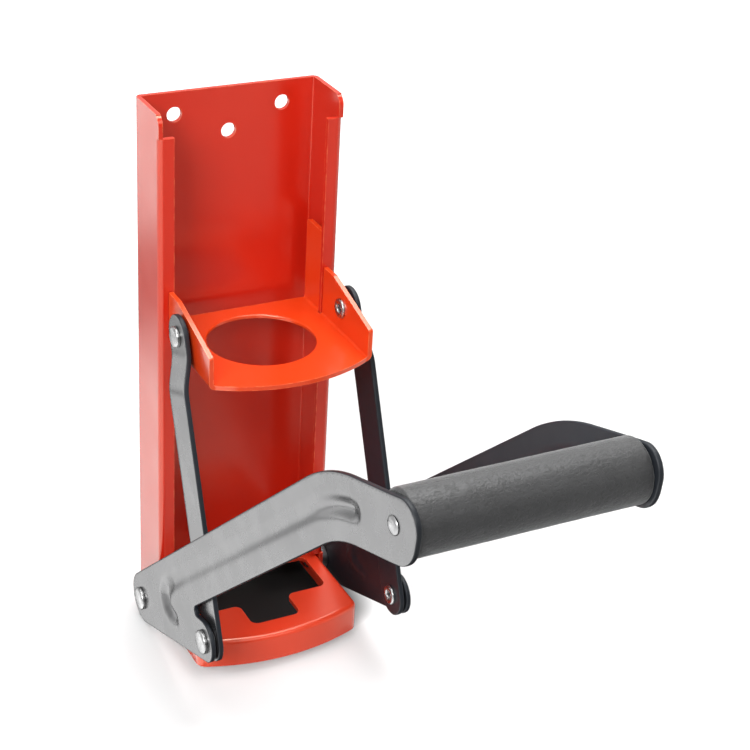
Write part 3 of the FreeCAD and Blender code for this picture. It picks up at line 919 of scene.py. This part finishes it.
@dataclass
class Lever(Assembly):
    """The two bent arms with their pressed beads."""

    heel: float = 12.0
    tab: float = 9.4
    notch: float = 2.4
    notch_gap: float = 1.4
    bend_centre: complex = 257.7 + 90.4j
    bend_inner: float = 80.0
    bend_outer: float = 105.0
    tip_lower: float = 13.8
    tip_upper: float = 9.0
    tip_shift: complex = 5.2 + 3.3j
    tuck_start: float = 3.0
    tuck_slant: float = 0.12
    tuck_share: float = 0.055
    tuck_ease: float = 4.0
    inside: float = 46.0
    bead_offset: float = 0.2
    bead_half: float = 4.7
    bead_depth: float = 2.3
    bead_rear: float = 0.7
    bead_fade: float = 1.2
    bead_fullness: float = 0.85
    bend_steps: int = 24
    ramp_steps: int = 3
    front_ramp: float = 0.42
    ridge: float = 0.5
    bend_ridge: float = 0.9
    bend_from: float = 130.0
    front_angle: float = 108.4
    hook: tuple[Bead, ...] = (
        (120.0 + 0.2j, 4.7, 0.55), (70.0 + 0.2j, 4.7, 0.55), (52.0 + 0.1j, 4.9, 0.8),
        (44.0 - 0.4j, 5.2, 1.3), (39.5 - 1.8j, 5.8, 1.8), (35.8 - 4.4j, 6.2, 2.2),
        (35.2 - 8.2j, 5.8, 2.3), (37.4 - 11.6j, 5.0, 2.1), (40.6 - 13.9j, 4.4, 1.9),
        (43.6 - 15.6j, 3.6, 1.0))
    run: Run = field(init=False)

    def __post_init__(self) -> None:
        """Works out the direction of the arm's straight stretch."""
        distance, heading = cmath.polar(self.bend_centre - Pivot.FRAME.value)
        middle = (self.bend_inner + self.bend_outer) / 2
        self.run = Run(Pivot.FRAME.value, heading + math.asin(middle / distance))

    def circles(self) -> list[Circle]:
        """The circles of the arm's outline.

        Returns:
            Middle and radius of each, in running order.
        """
        link, handle, bend, upper = (self.run.onto(point) for point in (
            Pivot.LINK.value, Pivot.HANDLE.value, self.bend_centre,
            Pivot.HANDLE.value + self.tip_shift))
        notch = link + 1j * (self.tab + self.notch + self.notch_gap)
        return [(0j, self.heel), (link, self.tab), (notch, -self.notch), (bend, -self.bend_inner),
                (handle, self.tip_lower), (upper, self.tip_upper), (bend, self.bend_outer)]

    def bead_line(self) -> list[Bead]:
        """The middle line of the pressed bead: bend, straight, hook.

        Returns:
            Its points with their half widths and depths.
        """
        bend = self.run.onto(self.bend_centre)
        radius = (self.bend_inner + self.bend_outer) / 2 + self.bead_offset
        front = math.radians(self.front_angle) - self.run.heading
        points = []
        for step in range(self.bend_steps + 1):
            share = step / self.bend_steps
            depth = self.bead_depth + (self.bead_rear - self.bead_depth) * share ** self.bead_fade
            depth *= min(1.0, self.front_ramp + (1.0 - self.front_ramp) * step / self.ramp_steps)
            points.append((bend + cmath.rect(radius, front + (math.pi / 2 - front) * share),
                           self.bead_half, depth))
        return points + list(self.hook)

    def inward(self, line: Sequence[Bead], place: Vector) -> float:
        """How far in a point of the arm goes, for the bead and for the lean of the tip.

        Args:
            line: The bead's middle points, half widths and depths.
            place: The point on the flat arm.

        Returns:
            The distance in millimetres.
        """
        point = flat(place)
        deepest = 0.0
        for (start, half, deep), (end, end_half, end_deep) in zip(line, line[1:]):
            share = min(1.0, max(0.0, ((point - start) / (end - start)).real))
            distance = (abs(point - start - share * (end - start))
                        / (half + (end_half - half) * share))
            if distance < 1.0:
                level = (0.5 + 0.5 * math.cos(math.pi * distance)) ** self.bead_fullness
                deepest = max(deepest, (deep + (end_deep - deep) * share) * level)
        if place.z <= -SHEET / 2:
            deepest *= self.bend_ridge if place.x > self.bend_from else self.ridge
        past = self.run.off(point) - Pivot.HANDLE.value
        beyond = max(0.0, past.real + self.tuck_start + past.imag * self.tuck_slant)
        return deepest + self.tuck_share * beyond ** 2 / (beyond + self.tuck_ease)

    def build(self) -> None:
        """Makes both arms and fits them."""
        holes = [self.run.onto(pivot.value) for pivot in (Pivot.FRAME, Pivot.LINK, Pivot.HANDLE)]
        stock = FlatStock(self.circles(), holes).make("lever_arm_right")
        line = self.bead_line()
        arm = stand(stock, self.run, lambda place: (
            self.inside + SHEET + place.z - self.inward(line, place)))
        self.shop.fit_pair(arm, Body.LEVER, "arm_paint", "arm", True)


@dataclass
class Links(Assembly):
    """The two side links, each stepped inward at its upper eye."""

    half: float = 9.5
    rim: float = 0.45
    cell: float = 1.4
    lower_inside: float = 42.6
    step_in: float = 3.5
    step_end: float = 6.0
    step_length: float = 19.0

    def inside(self, before: float) -> float:
        """Where the inner face is, at a distance before the upper eye."""
        share = min(1.0, max(0.0, 1.0 - (before - self.step_end) / self.step_length))
        return self.lower_inside - self.step_in * share * share * (3.0 - 2.0 * share)

    def build(self) -> None:
        """Makes both links and fits them."""
        length, heading = cmath.polar(Pivot.PLATE.value - Pivot.LINK.value)
        eyes = (0j, complex(length))
        stock = FlatStock([(eye, self.half) for eye in eyes], eyes, self.rim, self.cell)
        link = stand(stock.make("side_link_right"), Run(Pivot.LINK.value, heading),
                     lambda place: self.inside(length - place.x) + SHEET + place.z)
        self.shop.fit_pair(link, Body.RIGHT_LINK, "arm_paint", "link", True)


# Turned pieces


@dataclass
class Hardware(Assembly):
    """Rivets, washers, spacers and the crossbar.

    A tail is (face that it stands on, radius, floor of its bore), a ring (inner face, outer
    face, radius), and the half bar (x, radius) points from an end to the collar.
    """

    arm_face: float = 48.25
    link_face: float = 41.35
    head: float = 5.4
    upper_head: float = 4.7
    head_height: float = 2.0
    crown: float = 0.13
    rim: Pair = (1.0, 1.15)
    shank: float = 3.0
    bore: float = 2.0
    tail_height: float = 1.3
    frame_tail: Triple = (37.8, 4.1, 40.1)
    link_tail: Triple = (42.55, 4.5, 44.85)
    plate_tail: Triple = (35.7, 4.5, 37.2)
    split: Pair = (39.1, 38.8)
    chamfer: float = 0.2
    spacer: Triple = (42.0, 45.95, 6.0)
    washer: Triple = (44.85, 46.0, 6.5)
    ease: float = 0.22
    half_bar: tuple[Pair, ...] = (
        (49.25, 0.0), (49.22, 1.2), (49.1, 2.2), (48.86, 2.95), (48.55, 3.4), (48.25, 3.55),
        (48.25, 3.0), (45.95, 3.0), (45.95, 6.2), (45.8, 6.35))

    def head_profile(self, face: float, radius: float) -> list[Pair]:
        """Flat crowned head that stands outward of a plane.

        Args:
            face: Where the plane is.
            radius: The head's radius.

        Returns:
            Its profile, from its middle to its shank.
        """
        top = face + self.head_height
        drop, width = self.rim
        points = [(top, 0.0), (top - 0.01, 0.3 * radius), (top - 0.05, 0.55 * radius)]
        for step in range(6):
            angle = step * math.pi / 10
            points.append((top - self.crown - drop * (1.0 - math.cos(angle)),
                           radius - width + width * math.sin(angle)))
        return points + [(face + 0.15, radius), (face, radius - 0.15), (face, self.shank)]

    def tail_profile(self, face: float, radius: float, floor: float) -> list[Pair]:
        """Rolled hollow end that stands inward of a plane.

        Args:
            face: Where the plane is.
            radius: The end's radius.
            floor: Where its bore ends.

        Returns:
            Its profile, from its shank to the middle of the bore's floor.
        """
        end = face - self.tail_height
        return [(face, self.shank), (face, radius - 0.1), (face - 0.1, radius),
                (end + 0.75, radius), (end + 0.42, radius - 0.16), (end + 0.16, radius - 0.45),
                (end + 0.03, radius - 0.8), (end, radius - 1.15), (end + 0.06, radius - 1.55),
                (end + 0.28, self.bore + 0.28), (end + 0.7, self.bore), (floor - 0.2, self.bore),
                (floor, self.bore - 0.2), (floor, 0.0)]

    def ring_profile(self, inner: float, outer: float, radius: float) -> list[Pair]:
        """Closed section of a washer with eased edges.

        Args:
            inner: Where its inner face is.
            outer: Where its outer face is.
            radius: Its radius.

        Returns:
            Its profile.
        """
        ease = self.ease
        return [(outer, HOLE + ease), (outer, radius - ease), (outer - ease, radius),
                (inner + ease, radius), (inner, radius - ease), (inner, HOLE + ease),
                (inner + ease, HOLE), (outer - ease, HOLE), (outer, HOLE + ease)]

    def build(self) -> None:
        """Makes and fits every piece."""
        lower = self.head_profile(self.arm_face, self.head)
        upper = self.head_profile(self.link_face, self.upper_head)
        headed, rolled = self.split
        thin = self.shank - self.chamfer
        stub = [(headed + self.chamfer, self.shank), (headed, thin), (headed, 0.0)]
        start = [(rolled, 0.0), (rolled, thin), (rolled - self.chamfer, self.shank)]
        rivet, ring, frame, link, plate = (
            "rivet_steel", "washer_steel", Pivot.FRAME, Pivot.LINK, Pivot.PLATE)
        for name, node, body, pivot, slot, profile in (
                ("frame_pivot_rivet", "pivot_rivet", Body.FRAME, frame, rivet,
                 lower + self.tail_profile(*self.frame_tail)),
                ("link_pivot_rivet", "link_rivet", Body.LEVER, link, rivet,
                 lower + self.tail_profile(*self.link_tail)),
                ("plate_rivet_head", "upper_rivet", Body.RIGHT_LINK, plate, rivet, upper + stub),
                ("plate_rivet_tail", "upper_rivet_tail", Body.PLATE, plate, rivet,
                 start + self.tail_profile(*self.plate_tail)),
                ("pivot_spacer_ring", "pivot_spacer", Body.FRAME, frame, ring,
                 self.ring_profile(*self.spacer)),
                ("link_washer_ring", "link_washer", Body.LEVER, link, ring,
                 self.ring_profile(*self.washer))):
            right = turned_piece(name + "_right", profile)
            pivot.carry(right)
            self.shop.fit_pair(right, body, slot, node)
        profile = [*self.half_bar, *((-x, radius) for x, radius in reversed(self.half_bar))]
        bar = turned_piece("handle_crossbar", profile)
        Pivot.HANDLE.carry(bar)
        self.shop.fit(bar, Body.LEVER, "bar_steel", "handle_bar")


@dataclass
class Grip(Assembly):
    """The foam sleeve on the crossbar, soft and a little uneven."""

    half: float = 45.65
    radius: float = 12.3
    bore: float = 6.36
    rounding: float = 1.3
    turns: int = 8
    ring: float = 0.8
    facets: int = 112
    broad: Triple = (38.0, 55.0, 0.16)
    fine: Triple = (260.0, 190.0, 0.07)

    def profile(self) -> list[Pair]:
        """Section of the sleeve.

        Returns:
            Its profile: bore, end, long side, end and back.
        """
        edge = [(self.half, self.bore + 0.3), (self.half, self.radius - self.rounding - 1.0)]
        for step in reversed(range(self.turns + 1)):
            angle = step * math.pi / 2 / self.turns
            edge.append((self.half - self.rounding * (1.0 - math.sin(angle)),
                         self.radius - self.rounding * (1.0 - math.cos(angle))))
        straight = self.half - self.rounding
        count = round(2 * straight / self.ring)
        side = [(straight - 2 * straight * step / count, self.radius)
                for step in range(1, count)]
        left = [(-x, radius) for x, radius in reversed(edge)]
        start, end = (self.half - 0.3, self.bore), (-self.half + 0.3, self.bore)
        return [start, *edge, *side, *left, end, start]

    def build(self) -> None:
        """Makes the sleeve, lets its skin dip here and there, and fits it."""
        grip = turned_piece("foam_grip_sleeve", self.profile(), self.facets)
        for vertex in grip.data.vertices:
            x, y, z = vertex.co
            radius = math.hypot(y, z)
            if radius > (self.bore + 1.0) * MM:
                dip = 0.0
                for along, across, deepest in (self.broad, self.fine):
                    cell = noise.noise(Vector((x * along, y * across, z * across)))
                    dip += deepest * (0.5 + 0.5 * cell)
                shrink = 1.0 - dip * MM / radius
                vertex.co = (x, y * shrink, z * shrink)
        Pivot.HANDLE.carry(grip, 60.0)
        self.shop.fit(grip, Body.LEVER, "grip_foam", "foam_grip")


# Studio


@dataclass(frozen=True)
class SoftBox:
    """A soft lamp: where it stands, where it points, how big and how strong."""

    name: str
    place: Triple
    aim: Triple
    size: Pair
    power: float

    def build(self) -> None:
        """Hangs the lamp."""
        data = bpy.data.lights.new(self.name, "AREA")
        data.shape = "RECTANGLE"
        data.size, data.size_y = self.size
        data.energy = self.power
        lamp = bpy.data.objects.new(self.name, data)
        bpy.context.scene.collection.objects.link(lamp)
        lamp.location = self.place
        toward = Vector(self.aim) - Vector(self.place)
        lamp.rotation_euler = toward.to_track_quat("-Z", "Y").to_euler()
        lamp.visible_camera = False
        LOG.info("lamp %s", self.name)


@dataclass(frozen=True)
class GlossCard:
    """A white card that only gloss sees: where it is, its soft edge and its brightness.

    The fade is a height where it starts, one where it ends, and the share left there.
    """

    heading: Triple
    starts: float
    full: float
    glow: float
    rest: float = 0.05
    fade: Triple = (0.0, 1.0, 1.0)


@dataclass
class Studio:
    """Camera, floor, lamps and surroundings.

    The edge steps are the dark line, seen in gloss, between the table's edge and the
    backdrop: each goes from a height to another, and from a brightness to another.
    """

    camera_place: Triple = (-289.95, -682.92, 504.65)
    azimuth: float = 28.45
    elevation: float = 28.01
    roll: float = 3.41
    lens: float = 86.71
    sensor: float = 36.0
    sight: float = 50.0
    floor_height: float = -0.0045
    floor_size: float = 6.0
    # Sheet under the tray whose dark middle is painted shade in reflections.
    mat_place: Triple = (0.0, -0.035, -0.003)
    mat_size: float = 0.086
    sky: float = 0.26
    cards: tuple[GlossCard, ...] = (
        GlossCard((-1.0, 0.0, 0.0), 0.15, 0.35, 2.5, fade=(-0.32, -0.15, 0.45)),
        GlossCard((0.20, 0.78, 0.60), 0.55, 0.90, 0.7),
        GlossCard((0.38, -0.78, -0.50), 0.80, 0.96, 0.5),
        GlossCard((1.0, 0.0, 0.0), 0.50, 0.85, 1.2))
    edge_steps: tuple[tuple[float, ...], ...] = (
        (-0.458, -0.446, 1.0, 0.0), (-0.408, -0.396, 0.0, 0.9))
    lamps: tuple[SoftBox, ...] = (
        SoftBox("key_left_front", (-1.1, -1.1, 1.2), (0.0, -0.1, 0.1), (0.7, 0.7), 27.0),
        SoftBox("overhead", (-0.17, -0.12, 1.5), (0.0, -0.1, 0.1), (1.0, 0.9), 10.0),
        SoftBox("top_right", (0.38, 0.03, 1.60), (0.0, -0.15, 0.15), (0.8, 0.5), 12.0),
        SoftBox("rear_top", (0.35, 0.80, 1.40), (0.0, -0.15, 0.15), (0.9, 0.6), 10.0),
        SoftBox("front", (0.30, -1.5, 1.3), (0.0, -0.1, 0.05), (0.9, 0.9), 7.0))

    def aim_camera(self) -> None:
        """Creates the camera and makes it the scene's own."""
        az, el, roll = (math.radians(a) for a in (self.azimuth, self.elevation, self.roll))
        ahead = Vector((math.sin(az) * math.cos(el), math.cos(az) * math.cos(el), -math.sin(el)))
        right = ahead.cross(Vector((0.0, 0.0, 1.0))).normalized()
        above = right.cross(ahead)
        turned = right * math.cos(roll) + above * math.sin(roll)
        upward = above * math.cos(roll) - right * math.sin(roll)
        data = bpy.data.cameras.new("camera")
        data.lens = self.lens
        data.sensor_width = self.sensor
        data.sensor_fit = "HORIZONTAL"
        data.clip_end = self.sight
        camera = bpy.data.objects.new("camera", data)
        bpy.context.scene.collection.objects.link(camera)
        matrix = Matrix((turned, upward, -ahead)).transposed().to_4x4()
        matrix.translation = Vector(self.camera_place) * MM
        camera.matrix_world = matrix
        bpy.context.scene.camera = camera
        LOG.info("camera set")

    def lay_floor(self) -> None:
        """Lays the pale floor, and a sheet under the tray that only gloss sees, whose dark middle
        is painted shade in reflections.
        """
        white = StudioWhite().make()
        # The second sheet is seen only in gloss: its dark middle is painted shade under the tray.
        for name, size, place, unseen in (
                ("studio_floor", self.floor_size, (0.0, 0.0, self.floor_height), ["glossy"]),
                ("studio_dark_mat", self.mat_size, self.mat_place,
                 ["camera", "diffuse", "shadow"])):
            select()
            bpy.ops.mesh.primitive_plane_add(size=size, location=place)
            sheet = added(name)
            bpy.ops.object.transform_apply(location=True, rotation=True, scale=True)
            sheet.data.materials.append(white)
            for ray in unseen:
                setattr(sheet, "visible_" + ray, False)
            LOG.info("laid %s", name)

    def light(self) -> None:
        """Lights the tool from the lamps and from all round."""
        world = bpy.data.worlds.new("surroundings")
        bpy.context.scene.world = world
        desk = NodeDesk(world)
        ray = desk.add("LightPath").outputs
        heading = desk.add("TexCoord").outputs["Generated"]
        height = desk.add("SeparateXYZ", heading).outputs["Z"]
        gloss: Value = 0.0
        for card in self.cards:
            aim = Vector(card.heading).normalized()
            soft = desk.band(desk.vectors("DOT_PRODUCT", heading, aim)["Value"], card.starts,
                             card.full, card.rest, card.glow, "SMOOTHSTEP")
            dim = desk.band(height, card.fade[0], card.fade[1], 1.0, card.fade[2])
            gloss = desk.sum("MAXIMUM", desk.sum("MULTIPLY", soft, dim), gloss)
        edge = desk.sum("MAXIMUM", *(desk.band(height, *step, "SMOOTHSTEP")
                                     for step in self.edge_steps))
        edged = desk.sum("MULTIPLY", gloss, edge)
        glossy = desk.band(ray["Is Glossy Ray"], 0.0, 1.0, self.sky, edged)
        strength = desk.band(ray["Is Camera Ray"], 0.0, 1.0, glossy, 1.0)
        desk.close("OutputWorld", desk.add("Background", (1.0, 1.0, 1.0), strength))
        for lamp in self.lamps:
            lamp.build()

    def build(self) -> None:
        """Sets up everything round the tool."""
        bpy.context.scene.view_settings.view_transform = "Standard"
        self.aim_camera()
        self.lay_floor()
        self.light()


def main() -> None:
    """Builds the dressed tool and its studio."""
    logging.basicConfig(level=logging.INFO, format="%(name)s: %(message)s")
    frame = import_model()
    shop = Workshop(frame["nodes"], Finishes().make())
    Studio().build()
    for assembly in (SheetWork, Lever, Links, Hardware, Grip):
        assembly(shop).build()


if __name__ == "__main__":
    main()
